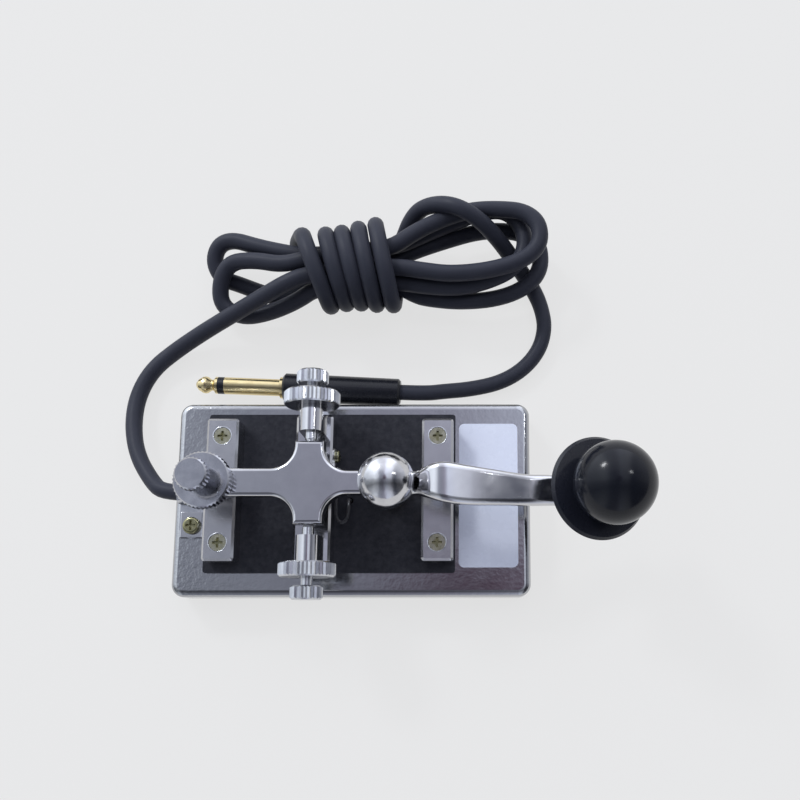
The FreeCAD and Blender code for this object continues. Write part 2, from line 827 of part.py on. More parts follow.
def knob_top():
    foot = knob_seat_half + skirt_height
    ball = Part.makeSphere(ball_radius, V(0, 0, ball_height))
    ball = ball.common(rod(ball_radius + 1, 2 * ball_radius + ball_height, V(0, 0, foot), Z_AXIS))
    ball = ball.cut(rod(m4_radius + slack, knob_screw_reach + blind_spare - foot, V(0, 0, foot), Z_AXIS))
    return placed(ball, knob_point(0), knob_direction())


def knob_screw():
    return pan_screw(knob_screw_head, knob_screw_head_height, m4_radius, knob_seat_half + knob_screw_reach,
                     knob_point(-knob_seat_half), knob_direction() * -1)


# Label and clip

def blank_label():
    half_l = label_length / 2
    half_w = label_width / 2
    return block(label_x - half_w, label_x + half_w, label_y - half_l, label_y + half_l,
                 base_top, base_top + label_thickness, label_corner)


def cable_clip():
    inner = cable_radius + slack
    outer = inner + clip_thickness
    x0 = clip_x - clip_width / 2
    x1 = clip_x + clip_width / 2
    arch = rod(outer, clip_width, V(x0, cable_y, cable_z), X_AXIS)
    arch = arch.fuse(block(x0, x1, cable_y - outer, cable_y + outer, base_top, cable_z))
    tab = block(x0, x1, clip_screw_y, cable_y, base_top, base_top + clip_thickness)
    tab = tab.fuse(rod(clip_width / 2, clip_thickness, V(clip_x, clip_screw_y, base_top), Z_AXIS))
    strip = arch.fuse(tab)
    strip = strip.cut(rod(inner, clip_width, V(x0, cable_y, cable_z), X_AXIS))
    strip = strip.cut(block(x0, x1, cable_y - inner, cable_y + inner, base_top - 5, cable_z))
    strip = strip.cut(rod(m3_radius + slack, clip_thickness, V(clip_x, clip_screw_y, base_top), Z_AXIS))
    return strip.removeSplitter()


def cable_clip_screw():
    return pan_screw(m3_head_radius, m3_head_height, m3_radius, clip_screw_length,
                     V(clip_x, clip_screw_y, base_top + clip_thickness), Z_AXIS)


# Inner wires

def bracket_wire():
    hole_y = line_y + bracket_hole_offset
    lug_end = line_y + lug_offset - lug_radius - lug_crimp_start
    side_x = bracket_face_x + wire_radius + lug_thickness
    points = [
        V(sheath_end_x, cable_y - wire_offset, cable_z),
        V(wire_hole_x, cable_y - wire_offset, cable_z),
        V(wire_hole_x, cable_y - wire_offset, wire_run_z),
        V(bracket_hole_x - 6, hole_y - 4, wire_run_z),
        V(bracket_hole_x, hole_y, wire_run_z),
        V(bracket_hole_x, hole_y, lug_z - wire_loop_rise),
        V(bracket_hole_x + wire_loop_out, hole_y - wire_loop_reach * 0.43, lug_z + wire_loop_rise),
        V(bracket_hole_x - wire_loop_out, hole_y - wire_loop_reach * 0.84, lug_z + wire_loop_rise / 2),
        V(bracket_hole_x - wire_loop_in, hole_y - wire_loop_reach, lug_z),
        V(side_x, hole_y - wire_loop_reach * 0.75, lug_z),
        V(side_x, lug_end + wire_end, lug_z),
    ]
    return tube_along(points, wire_radius - wire_spare, "bracket_wire")


def front_bar_wire():
    lug_x, lug_y = lug_place()
    end_z = roof_under - bush_flange - lug_thickness - wire_radius
    points = [
        V(sheath_end_x, cable_y + wire_offset, cable_z),
        V(wire_hole_x, cable_y + wire_offset, cable_z),
        V(wire_hole_x, cable_y + wire_offset, wire_run_z),
        V(lug_x - front_wire_bend_x, cable_y + front_wire_bend_y, wire_run_z),
        V(lug_x - m3_head_radius - front_wire_start, lug_y, end_z),
        V(lug_x - m3_head_radius - front_wire_end, lug_y, end_z),
    ]
    return tube_along(points, wire_radius - wire_spare, "front_bar_wire")


# Jack plug, made along X from its tip and then turned a little

def plug_place(solid):
    shape = solid.copy()
    turn = FreeCAD.Rotation(Z_AXIS, plug_turn)
    shape.Placement = FreeCAD.Placement(V(plug_tip_x, plug_tip_y, barrel_radius), turn)
    return shape


def plug_turned(profile):
    points = [V(along, 0, r) for along, r in profile]
    face = Part.Face(Part.makePolygon(points + [points[0]]))
    return plug_place(face.revolve(V(0, 0, 0), X_AXIS, 360))


def plug_tip():
    rod_end = plug_shank + tip_rod_spare
    return plug_turned([
        (0, 0), (0.25, 1.0), (1.2, 2.15), (2.8, plug_radius - 0.1), (3.6, plug_radius), (4.4, plug_radius - 0.1),
        (5.9, 2.05), (6.5, 2.05), (7.5, plug_radius), (ring_start, plug_radius),
        (ring_start, tip_rod_radius), (rod_end, tip_rod_radius), (rod_end, 0)])


def plug_insulator():
    end = plug_shank + insulator_spare
    return plug_turned([
        (ring_start, tip_rod_radius), (ring_start, plug_radius), (ring_end, plug_radius), (ring_end, sleeve_bore),
        (end, sleeve_bore), (end, tip_rod_radius)])


def plug_sleeve():
    collar_end = plug_shank + collar_length
    thread_end = plug_shank + thread_length
    return plug_turned([
        (ring_end, sleeve_bore), (ring_end, plug_radius), (plug_shank, plug_radius),
        (plug_shank, collar_radius), (collar_end, collar_radius), (collar_end, thread_radius),
        (thread_end, thread_radius), (thread_end, sleeve_bore)])


def plug_barrel():
    start = plug_shank + collar_length
    end = plug_shank + barrel_length
    thread_end = plug_shank + thread_length
    grip = end - barrel_grip
    return plug_turned([
        (start, thread_radius), (start, barrel_radius - barrel_edge), (start + barrel_edge, barrel_radius),
        (end - barrel_edge, barrel_end_radius), (end, barrel_end_radius - barrel_edge), (end, cable_radius),
        (grip, cable_radius), (grip, barrel_bore), (thread_end, barrel_bore), (thread_end, thread_radius)])


def plug_end():
    """Where the cable meets the barrel, and the way out of it."""
    ahead = V(math.cos(math.radians(plug_turn)), math.sin(math.radians(plug_turn)), 0)
    tip = V(plug_tip_x, plug_tip_y, barrel_radius)
    return tip + ahead * (plug_shank + barrel_length), ahead


# Cable: a lead from the clip, a hank tied with five wraps, and a tail to the plug.
# The hank is laid out along its own length u and across it v, then turned into place.

hank_x = -1.0
hank_y = 84.4
hank_turn = 5.0
strand_pitch = 6.1
strand_layer = strand_pitch * math.sqrt(3) / 2
wrap_radius = 12.55
wrap_pitch = 6.5
wrap_lean = 3.5
wrap_count = 5
wrap_start = -13.0
wrap_axis_z = cable_radius + wrap_radius
strand_right = 21.0
strand_left = [-17.0, -23.9, -22.2, -16.7, -21.0, -14.3]

# Loops beyond each end of the wraps: outgoing side, far end, returning side, as u, v and height
right_loops = [
    [(46.0, -2.5, 21.7), (66.8, 8.5, 22.0), (44.0, 17.5, 21.8)],
    [(38.0, -8.5, 15.6), (57.5, 6.0, 15.7), (36.0, 21.0, 15.5)],
    [(44.0, -13.2, 8.9), (66.6, -0.5, 9.1), (42.0, 11.0, 8.9)],
]
left_loops = [
    [(-40.9, 7.2, 11.0), (-49.3, -2.4, 9.4), (-37.0, -12.2, 8.2)],
    [(-42.3, 14.0, 6.0), (-49.3, 5.2, 2.95), (-38.0, -3.4, 3.0)],
]
hank_in = (-34.0, -5.8, 20.7)
hank_in_heading = (0.95, 0.26, 0.07)
wrap_join = (-30.2, 11.0, 2.87)
wrap_join_heading = (0.23, 1.0, 0.0)
wrap_swell_v = 1.62
wrap_swell_z = 1.12
hank_out = (25.0, -9.0, 2.85)
hank_out_heading = 22.0


def strand_place(k):
    """Across and height of the k-th strand inside the wraps, two in each of three layers."""
    layer = k // 2
    side = -1 if k % 2 == 0 else 1
    reach = strand_pitch if layer == 1 else strand_pitch / 2
    return side * reach, wrap_axis_z + strand_layer * (1 - layer)


def wrap_knot(turn, quarter):
    angle = quarter * math.pi / 2
    c = math.cos(angle)
    s = math.sin(angle)
    u = wrap_start + wrap_pitch * (turn + quarter / 4 - 0.25) - wrap_lean * c
    point = V(u, wrap_radius * c, wrap_axis_z + wrap_radius * s)
    heading = V(wrap_pitch / (2 * math.pi) + wrap_lean * s, -wrap_radius * s, wrap_radius * c)
    return point, heading


def hank_knots():
    ahead = V(1, 0, 0)
    back = V(-1, 0, 0)
    across = V(0, 1, 0)
    start = V(*hank_in)
    heading = V(*hank_in_heading).normalize()
    knots = [(start, heading), (start + heading * cable_diameter, heading)]
    for k in range(6):
        v, z = strand_place(k)
        left = V(strand_left[k], v, z)
        right = V(strand_right, v, z)
        if k % 2 == 0:
            knots += [(left, ahead), (right, ahead)]
            out, far, home = right_loops[k // 2]
            knots += [(V(*out), ahead), (V(*far), across), (V(*home), back)]
        else:
            knots += [(right, back), (left, back)]
            if k < 5:
                out, far, home = left_loops[k // 2]
                knots += [(V(*out), back), (V(*far), across * -1), (V(*home), ahead)]
    knots.append((V(*wrap_join), V(*wrap_join_heading)))
    for turn in range(wrap_count):
        for quarter in range(4):
            if turn == wrap_count - 1 and quarter > 2:
                break
            knots.append(wrap_knot(turn, quarter))
            if turn == 0 and quarter == 0:
                point, heading = knots.pop()
                knots.append((point + V(0, wrap_swell_v, wrap_swell_z), heading))
    way_out = V(math.cos(math.radians(hank_out_heading)), math.sin(math.radians(hank_out_heading)), 0)
    end = V(*hank_out)
    knots += [(end, way_out), (end + way_out * cable_diameter, way_out)]
    turn = FreeCAD.Rotation(Z_AXIS, hank_turn)
    place = V(hank_x, hank_y, 0)
    return [(turn.multVec(point) + place, turn.multVec(heading).normalize()) for point, heading in knots]


def least_gap(edges, diameter):
    """Least distance between parts of the tube that are more than two diameters apart along it."""
    points = []
    gone = 0.0
    for edge in edges:
        count = max(2, int(edge.Length))
        first = edge.FirstParameter
        step = (edge.LastParameter - first) / count
        for i in range(count):
            p = edge.valueAt(first + step * i)
            points.append((p.x, p.y, p.z, gone + edge.Length * i / count))
        gone += edge.Length
    least = 1e9
    for i, (x, y, z, s) in enumerate(points):
        for a, b, c, t in points[i + 1:]:
            if t - s > 2.5 * diameter:
                d = (x - a) ** 2 + (y - b) ** 2 + (z - c) ** 2
                if d < least:
                    least = d
    return math.sqrt(least) - diameter


def cable_hank():
    edges, length = biarc_route(hank_knots())
    radii = [e.Curve.Radius for e in edges if hasattr(e.Curve, "Radius")]
    print("cable_hank length", round(length, 1), "least radius", round(min(radii), 2),
          "least gap", round(least_gap(edges, cable_diameter), 2))
    tube = tube_on(edges, cable_radius)
    share = tube.Volume / (math.pi * cable_radius ** 2 * length)
    print("cable_hank volume over section times length", round(share, 4))
    return tube


def cable_lead():
    point, heading = hank_knots()[0]
    points = [
        V(sheath_end_x, cable_y, cable_z),
        V(sheath_end_x - 13.0, cable_y, cable_z),
        V(-75.4, 10.2, 12.5),
        V(-80.2, 21.2, 7.0),
        V(-83.0, 32.4, floor_z),
        V(-82.6, 43.6, floor_z),
        V(-77.8, 53.8, floor_z),
        V(-70.0, 61.2, floor_z),
        V(-61.0, 66.6, 8.0),
        V(-52.3, 69.4, 15.6),
        point - heading * 9.6,
        point,
    ]
    return tube_along(points, cable_radius, "cable_lead")


def cable_tail():
    point, heading = hank_knots()[-1]
    end, ahead = plug_end()
    points = [
        point,
        point + heading * 9.4,
        V(48.2, 87.2, floor_z),
        V(57.8, 86.6, floor_z),
        V(65.6, 82.0, floor_z),
        V(70.3, 74.5, floor_z),
        V(71.6, 66.0, floor_z),
        V(69.4, 57.6, floor_z),
        V(63.6, 50.9, floor_z),
        V(55.2, 46.2, floor_z),
        V(45.5, 43.0, floor_z),
        V(35.8, 41.2, floor_z + 0.8),
        end + ahead * 10.0,
        end,
    ]
    return tube_along(points, cable_radius, "cable_tail")


def front_bar_lug():
    """A flat lug clamped above a front bar nut, its tail soldered to the wire below it."""
    x, y = lug_place()
    top = roof_under - bush_flange
    tail = block(x - m3_head_radius - lug_tail_length, x, y - lug_tail_half_width, y + lug_tail_half_width,
                 top - lug_thickness, top)
    tail = tail.cut(rod(m3_radius + running, lug_thickness, V(x, y, top - lug_thickness), Z_AXIS))
    return washer(x, y).fuse(tail)


# Nodes

nodes = {
    "rubber_pad": rubber_pad(),
    "bottom_cover": bottom_cover(),
    "bottom_cover_screws": bottom_cover_screws(),
    "base": base(),
    "insulating_plate": insulating_plate(),
    "insulating_bushes": insulating_bushes(),
    "rear_contact_bar": contact_bar(rear_bar_x, rear_screw_x),
    "front_contact_bar": contact_bar(front_bar_x, front_bar_x),
    "rear_anvil": anvil(rear_screw_x),
    "front_anvil": anvil(front_bar_x),
    "contact_bar_screws": contact_bar_screws(),
    "contact_bar_washers": contact_bar_washers(),
    "contact_bar_nuts": contact_bar_nuts(),
    "pivot_bracket": pivot_bracket(),
    "bracket_screws": bracket_screws(),
    "bracket_lug": bracket_lug(),
    "bracket_lug_screw": bracket_lug_screw(),
    "bracket_wire": bracket_wire(),
    "front_bar_wire": front_bar_wire(),
    "front_bar_lug": front_bar_lug(),
    "left_pivot_screw": pivot_screw(-1),
    "right_pivot_screw": pivot_screw(1),
    "left_lock_nut": pivot_lock_nut(-1),
    "right_lock_nut": pivot_lock_nut(1),
    "pivot_cups": pivot_cups(),
    "lever": lever(),
    "front_contact_stud": front_contact_stud(),
    "rear_contact_screw": rear_contact_screw(),
    "rear_lock_nut": rear_lock_nut(),
    "spring_cap": spring_cap(),
    "spring_seat": spring_seat(),
    "spring_cup": spring_cup(),
    "return_spring": return_spring(),
    "knob_skirt": knob_skirt(),
    "knob_top": knob_top(),
    "knob_screw": knob_screw(),
    "blank_label": blank_label(),
    "cable_clip": cable_clip(),
    "cable_clip_screw": cable_clip_screw(),
    "cable_lead": cable_lead(),
    "cable_hank": cable_hank(),
    "cable_tail": cable_tail(),
    "plug_barrel": plug_barrel(),
    "plug_sleeve": plug_sleeve(),
    "plug_insulator": plug_insulator(),
    "plug_tip": plug_tip(),
}

os.makedirs("parts", exist_ok=True)
for name, shape in nodes.items():
    shape.exportStep("parts/" + name + ".step")
    box = shape.BoundBox
    print(name, "valid", shape.isValid(), "solids", len(shape.Solids), "volume", round(shape.Volume, 1),
          "x", round(box.XMin, 1), round(box.XMax, 1), "y", round(box.YMin, 1), round(box.YMax, 1),
          "z", round(box.ZMin, 1), round(box.ZMax, 1))
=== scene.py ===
import math
import bpy
import bmesh
from mathutils import Vector, Matrix


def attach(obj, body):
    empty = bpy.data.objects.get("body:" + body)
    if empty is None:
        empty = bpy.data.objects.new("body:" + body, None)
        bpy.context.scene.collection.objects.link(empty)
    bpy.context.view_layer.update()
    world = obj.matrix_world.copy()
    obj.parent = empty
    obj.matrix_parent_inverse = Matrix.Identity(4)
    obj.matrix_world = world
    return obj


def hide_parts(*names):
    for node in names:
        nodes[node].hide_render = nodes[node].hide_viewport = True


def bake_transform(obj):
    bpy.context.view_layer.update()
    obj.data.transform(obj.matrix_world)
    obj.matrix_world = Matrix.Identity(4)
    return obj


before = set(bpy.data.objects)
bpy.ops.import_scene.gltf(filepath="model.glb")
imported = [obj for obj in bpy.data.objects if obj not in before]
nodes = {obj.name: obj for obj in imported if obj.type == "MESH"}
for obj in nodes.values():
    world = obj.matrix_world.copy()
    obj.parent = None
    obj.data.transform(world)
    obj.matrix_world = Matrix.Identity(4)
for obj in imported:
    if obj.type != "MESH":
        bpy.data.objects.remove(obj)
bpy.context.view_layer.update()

scene = bpy.context.scene
MM = 0.001
TURN = 2 * math.pi


# Camera
CAMERA_PLACE = (0.04434, -0.0493, 0.33424)
CAMERA_DEGREES = (9.877, -0.198, -0.09)
SENSOR_WIDTH = 36.0
LENS = 40.83
SHIFT = (-0.1, 0.1)
NEAR, FAR = 0.01, 50.0


def make_camera():
    data = bpy.data.cameras.new("camera")
    data.sensor_fit = "HORIZONTAL"
    data.sensor_width = SENSOR_WIDTH
    data.lens = LENS
    data.shift_x, data.shift_y = SHIFT
    data.clip_start, data.clip_end = NEAR, FAR
    camera = bpy.data.objects.new("camera", data)
    scene.collection.objects.link(camera)
    camera.location = CAMERA_PLACE
    camera.rotation_euler = [math.radians(angle) for angle in CAMERA_DEGREES]
    scene.camera = camera


make_camera()


# Cord

# All points of the cord are in millimetres. Those of the lead and the tail are places in the
# frame. Those of the hank run u along it, v across it and z up. It lies turned behind the key.
HANK_PLACE = (-0.001, 0.0844, 0.0)
HANK_DEGREES = 5.0
HANK = Matrix.Translation(HANK_PLACE) @ Matrix.Rotation(math.radians(HANK_DEGREES), 4, "Z")

LEAD = (
    (-53.4, 1.4, 16.3), (-66.4, 1.4, 16.3), (-72.1, 6.0, 13.0), (-79.7, 16.7, 9.0),
    (-83.2, 28.8, 5.5), (-82.8, 40.8, 3.6), (-77.9, 51.0, 3.2), (-68.9, 58.2, 4.2),
    (-57.9, 64.0, 8.0), (-46.4, 69.0, 12.6), (-34.4, 74.1, 17.4),
)
# The strands, in the order in which the cord runs: three loops on the right, two on the left
STRANDS = (
    (-24.1, -3.7, 20.6), (-16.0, -1.2, 20.6), (11.0, -1.2, 20.6), (17.3, -1.7, 21.0),
    (26.3, -4.2, 21.5), (36.0, -6.5, 22.0), (49.9, -6.4, 22.3), (61.8, -3.9, 22.5),
    (68.9, 1.3, 22.5), (69.8, 9.8, 22.5), (64.5, 15.8, 21.7), (55.1, 18.1, 20.4),
    (45.5, 19.1, 19.2), (35.7, 17.1, 19.0), (24.2, 12.3, 19.8), (13.0, 5.0, 20.6),
    (-15.0, 5.0, 20.6), (-25.6, 3.9, 18.6), (-36.2, 7.7, 16.5), (-46.3, 9.2, 13.2),
    (-51.0, 3.2, 10.5), (-52.0, -5.3, 7.0), (-44.1, -10.5, 6.2), (-33.5, -9.9, 7.6),
    (-22.2, -7.5, 11.2), (-14.0, -4.3, 15.2), (13.0, -4.3, 15.2), (27.5, -8.0, 15.2),
    (39.3, -9.4, 15.2), (49.5, -7.6, 15.4), (58.4, -4.2, 15.6), (63.9, 2.5, 15.6),
    (64.4, 11.2, 15.6), (59.2, 19.6, 15.0), (50.2, 20.9, 13.9), (38.9, 17.6, 13.6),
    (26.9, 13.2, 14.2), (14.0, 8.1, 15.2), (-17.0, 8.1, 15.2), (-26.1, 10.7, 14.5),
    (-36.5, 14.6, 13.2), (-44.8, 18.6, 11.9), (-51.0, 17.8, 10.2), (-53.8, 12.0, 8.2),
    (-51.4, 5.8, 6.2), (-45.2, 3.6, 4.9), (-37.5, -0.2, 4.6), (-28.5, -4.2, 5.8),
    (-15.0, -1.2, 9.7), (12.0, -1.2, 9.7), (21.5, -8.5, 9.0), (27.8, -10.5, 9.0),
    (38.9, -12.5, 9.0), (52.2, -12.5, 9.1), (62.7, -9.5, 9.4), (69.4, -3.3, 9.4),
    (70.6, 5.5, 9.4), (67.7, 10.7, 9.2), (60.4, 14.4, 8.8), (48.2, 15.5, 8.6),
    (34.6, 12.6, 8.7), (21.7, 9.1, 9.0), (12.0, 5.0, 9.6), (-8.0, 5.0, 9.6),
    (-15.5, 7.4, 7.9), (-20.2, 11.6, 5.6), (-22.0, 15.4, 7.4), (-20.2, 16.2, 12.6),
)
# The five wraps round the strands: where along the hank one starts, half its width, and where
# along the hank it is when it has crossed over the top. The last row is where the fifth ends.
WRAPS = (
    (-17.9, 13.5, -9.9), (-9.3, 12.9, -4.2), (-3.3, 13.1, 1.3), (2.9, 14.2, 7.0),
    (9.3, 15.2, 13.3), (15.8, 13.2, 13.3),
)
WRAP_CENTRE = (1.9, 15.1)
WRAP_WIDENING = 1.025
WRAP_HALF_HEIGHT = 12.1
WRAP_STEPS = 14
# The end comes out from under the last wrap, over the upper strands and under the lower ones
WAY_OUT = (
    (18.9, 15.4, 7.9), (21.9, 20.0, 12.0), (26.7, 22.8, 16.8), (33.9, 21.2, 22.3),
    (41.0, 17.5, 25.6), (48.0, 13.3, 22.5), (54.0, 8.7, 16.0), (59.0, 3.6, 9.6),
    (63.6, -2.4, 4.6), (67.3, -8.9, 2.95),
)
TAIL = (
    (69.4, 74.5, 2.95), (70.5, 66.9, 2.95), (68.1, 58.2, 2.95), (61.9, 50.7, 2.95),
    (53.2, 45.6, 2.95), (41.9, 43.1, 2.95), (31.3, 42.1, 3.4), (25.87, 40.83, 5.45),
    (15.88, 41.23, 5.45),
)

# Half the cable's width in metres: at its two ends, and in the hank, where the photo shows it
# thicker. The points carry it, and the bevel is 1, so the curve's own box is the cable's.
END_RADIUS = 0.00288
HANK_RADIUS = 0.00308
END_POINTS = 4
BEVEL = 1.0
CORD_STEPS = 6
CORD_SIDES = 5


def hank_point(u, v, z):
    return HANK @ Vector((u * MM, v * MM, z * MM))


def wrap_point(step):
    turn, part = divmod(step / WRAP_STEPS, 1.0)
    start, half_width, over = WRAPS[int(turn)]
    next_start, next_half_width, _ = WRAPS[int(turn) + 1]
    angle = part * TURN
    if part < 0.5:
        u = start + (over - start) * (1 - math.cos(angle)) / 2
    else:
        u = over + (next_start - over) * (1 + math.cos(angle)) / 2
        half_width += (next_half_width - half_width) * (2 * part - 1)
    return hank_point(
        u,
        WRAP_CENTRE[0] + half_width * WRAP_WIDENING * math.cos(angle),
        WRAP_CENTRE[1] + WRAP_HALF_HEIGHT * math.sin(angle),
    )


def make_cord():
    places = [Vector(point) * MM for point in LEAD]
    places += [hank_point(*point) for point in STRANDS]
    places += [wrap_point(step) for step in range(1, (len(WRAPS) - 1) * WRAP_STEPS - 1)]
    places += [hank_point(*point) for point in WAY_OUT]
    places += [Vector(point) * MM for point in TAIL]

    curve = bpy.data.curves.new("cable", "CURVE")
    curve.dimensions = "3D"
    spline = curve.splines.new("NURBS")
    spline.points.add(len(places) - 1)
    for point, place in zip(spline.points, places):
        point.co = (*place, 1.0)
        point.radius = END_RADIUS
    for i in range(END_POINTS, len(places) - len(TAIL)):
        spline.points[i].radius = HANK_RADIUS
    spline.order_u = 3
    spline.use_endpoint_u = True
    spline.resolution_u = CORD_STEPS
    curve.bevel_depth = BEVEL
    curve.bevel_resolution = CORD_SIDES
    curve.use_fill_caps = True
    cable = bpy.data.objects.new("cable", curve)
    scene.collection.objects.link(cable)
    return cable


cable = make_cord()
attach(cable, "base")
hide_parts("cable_lead", "cable_hank", "cable_tail")


# Shader nodes
def put(tree, socket, value):
    """Links another node's output to the socket, or sets a plain value on it."""
    if isinstance(value, bpy.types.NodeSocket):
        tree.links.new(value, socket)
    else:
        socket.default_value = value


def calculated(tree, operation, *values):
    node = tree.nodes.new("ShaderNodeMath")
    node.operation = operation
    for socket, value in zip(node.inputs, values):
        put(tree, socket, value)
    return node.outputs[0]


def mixed(tree, first, second, amount=1.0, kind="MIX"):
    node = tree.nodes.new("ShaderNodeMix")
    node.data_type = "RGBA"
    node.blend_type = kind
    colours = [socket for socket in node.inputs if socket.type == "RGBA"]
    put(tree, node.inputs[0], amount)
    put(tree, colours[0], first)
    put(tree, colours[1], second)
    return next(socket for socket in node.outputs if socket.type == "RGBA")


def colour_ramp(tree, value, stops):
    node = tree.nodes.new("ShaderNodeValToRGB")
    elements = node.color_ramp.elements
    while len(elements) < len(stops):
        elements.new(0.5)
    for element, (place, _) in zip(elements, stops):
        element.position = place
    for element, (_, colour) in zip(elements, stops):
        element.color = (*colour, 1.0)
    put(tree, node.inputs[0], value)
    return node.outputs[0]


def mapped(tree, value, source, target):
    node = tree.nodes.new("ShaderNodeMapRange")
    node.inputs["From Min"].default_value, node.inputs["From Max"].default_value = source
    node.inputs["To Min"].default_value, node.inputs["To Max"].default_value = target
    put(tree, node.inputs["Value"], value)
    return node.outputs[0]


def grey(level):
    return (level, level, level)


# Floor and lamps
FLOOR_HALF = 3.0
FLOOR_CELLS = 8
FLOOR_COLOUR = 0.82
# What rays from the camera and from shiny surfaces see of the floor is mostly this, unlit
FLOOR_GLOW = 0.83
FLOOR_GLOW_SHARE = 0.85


def make_floor():
    mesh = bpy.data.meshes.new("floor")
    bm = bmesh.new()
    bmesh.ops.create_grid(bm, x_segments=FLOOR_CELLS, y_segments=FLOOR_CELLS, size=FLOOR_HALF)
    bm.to_mesh(mesh)
    bm.free()
    floor = bpy.data.objects.new("floor", mesh)
    scene.collection.objects.link(floor)
    material = bpy.data.materials.new("floor")
    material.use_nodes = True
    tree = material.node_tree
    tree.nodes.clear()
    out = tree.nodes.new("ShaderNodeOutputMaterial")
    diffuse = tree.nodes.new("ShaderNodeBsdfDiffuse")
    diffuse.inputs["Color"].default_value = (*grey(FLOOR_COLOUR), 1.0)
    glow = tree.nodes.new("ShaderNodeEmission")
    glow.inputs["Color"].default_value = (*grey(FLOOR_GLOW), 1.0)
    glow.inputs["Strength"].default_value = 1.0
    path = tree.nodes.new("ShaderNodeLightPath")
    seen = calculated(tree, "MAXIMUM", path.outputs["Is Camera Ray"],
                      path.outputs["Is Glossy Ray"])
    seen = calculated(tree, "MAXIMUM", seen, path.outputs["Is Transmission Ray"])
    mix = tree.nodes.new("ShaderNodeMixShader")
    tree.links.new(calculated(tree, "MULTIPLY", seen, FLOOR_GLOW_SHARE), mix.inputs[0])
    tree.links.new(diffuse.outputs[0], mix.inputs[1])
    tree.links.new(glow.outputs[0], mix.inputs[2])
    tree.links.new(mix.outputs[0], out.inputs["Surface"])
    mesh.materials.append(material)


def make_lamp(name, place, size, power, colour):
    """A soft rectangular lamp that points at the middle of the floor."""
    data = bpy.data.lights.new(name, "AREA")
    data.shape = "RECTANGLE"
    data.size, data.size_y = size
    data.energy = power
    data.color = colour
    lamp = bpy.data.objects.new(name, data)
    scene.collection.objects.link(lamp)
    lamp.location = place
    lamp.rotation_euler = (-Vector(place)).to_track_quat("-Z", "Y").to_euler()


make_floor()
make_lamp("key_light", place=(-0.78, 1.02, 0.98), size=(0.3, 0.2), power=7.5,
          colour=(0.96, 0.98, 1.0))
make_lamp("fill_light", place=(0.95, 0.5, 1.3), size=(0.13, 0.13), power=1.3,
          colour=(0.95, 0.97, 1.0))


# World

# The studio's light by its direction, whose parts run from -1 to 1. Across: a bright wall on
# the left, a dim middle, a pale panel overhead to the right and a dark right side.
ACROSS = (
    (-1.0, (0.42, 0.45, 0.5)), (-0.6, (0.62, 0.66, 0.72)), (-0.47, (0.48, 0.51, 0.57)),
    (-0.33, (0.2, 0.215, 0.255)), (-0.15, (0.165, 0.17, 0.21)), (-0.03, (0.2, 0.2, 0.25)),
    (0.14, (0.44, 0.47, 0.56)), (0.38, (0.43, 0.45, 0.51)), (0.46, (0.35, 0.365, 0.42)),
    (0.54, (0.12, 0.125, 0.15)), (0.65, (0.065, 0.07, 0.09)), (0.82, (0.16, 0.165, 0.19)),
    (1.0, (0.26, 0.27, 0.3)),
)
# From front to back: bright low in front, darkest above that, and full towards the back
ALONG = tuple((place, grey(level)) for place, level in (
    (-1.0, 0.8), (-0.7, 0.4), (-0.35, 0.16), (-0.1, 0.4), (0.05, 0.78), (0.17, 0.88),
    (0.26, 1.0), (1.0, 1.0),
))
# A pale wall at the back is added to the two
BACK = ((0.28, grey(0.0)), (0.5, (0.14, 0.145, 0.155)), (0.8, (0.3, 0.31, 0.325)))
# Who takes the photo darkens a round patch straight above, by its distance from the middle
PATCH_ACROSS = 0.03
PATCH = ((0.07, (0.24, 0.15, 0.18)), (0.19, grey(1.0)))
WORLD_STRENGTH = 2.3
# The camera itself sees this level instead, which at that strength is as pale as the floor
WORLD_SEEN = 0.36


def make_world():
    world = bpy.data.worlds.new("studio")
    scene.world = world
    world.use_nodes = True
    tree = world.node_tree
    background = tree.nodes["Background"]
    where = tree.nodes.new("ShaderNodeTexCoord")
    split = tree.nodes.new("ShaderNodeSeparateXYZ")
    tree.links.new(where.outputs["Generated"], split.inputs[0])
    x, y = split.outputs[:2]

    def by_direction(value, stops):
        halved = calculated(tree, "MULTIPLY_ADD", value, 0.5, 0.5)
        return colour_ramp(tree, halved, [((place + 1) / 2, colour) for place, colour in stops])

    aside = calculated(tree, "SUBTRACT", x, PATCH_ACROSS)
    distance = calculated(tree, "SQRT", calculated(
        tree, "ADD", calculated(tree, "POWER", aside, 2.0), calculated(tree, "POWER", y, 2.0)))
    light = mixed(tree, by_direction(x, ACROSS), by_direction(y, ALONG), kind="MULTIPLY")
    light = mixed(tree, light, colour_ramp(tree, distance, PATCH), kind="MULTIPLY")
    light = mixed(tree, light, by_direction(y, BACK), kind="ADD")
    path = tree.nodes.new("ShaderNodeLightPath")
    light = mixed(tree, light, (*grey(WORLD_SEEN), 1.0), path.outputs["Is Camera Ray"])
    tree.links.new(light, background.inputs["Color"])
    background.inputs["Strength"].default_value = WORLD_STRENGTH


make_world()
scene.view_settings.view_transform = "Standard"


# Materials

# A noise is given by its detail and roughness, and a range by where in it a change starts and
# ends: that of the patches from the first colour to the second
PATCH_NOISE = (5.0, 0.6)
PATCH_RANGE = (0.32, 0.68)
# The rough spots are smaller than the patches by this factor
ROUGH_FINER = 2.3
ROUGH_NOISE = (6.0, 0.65)
ROUGH_RANGE = (0.3, 0.7)
# How pointed an edge is where its wear begins and where it is full, and how much that covers
WEAR_RANGE = (0.515, 0.6)
WEAR_COVER = 0.8
WEAR_SCALE = 420.0
WEAR_NOISE = (4.0, 0.7)
GRAIN_ROUGHNESS = 0.55
# A relief that calms down does so over this length, to this share of its strength
CALM_LENGTH = 0.03
CALM_SHARE = 0.3


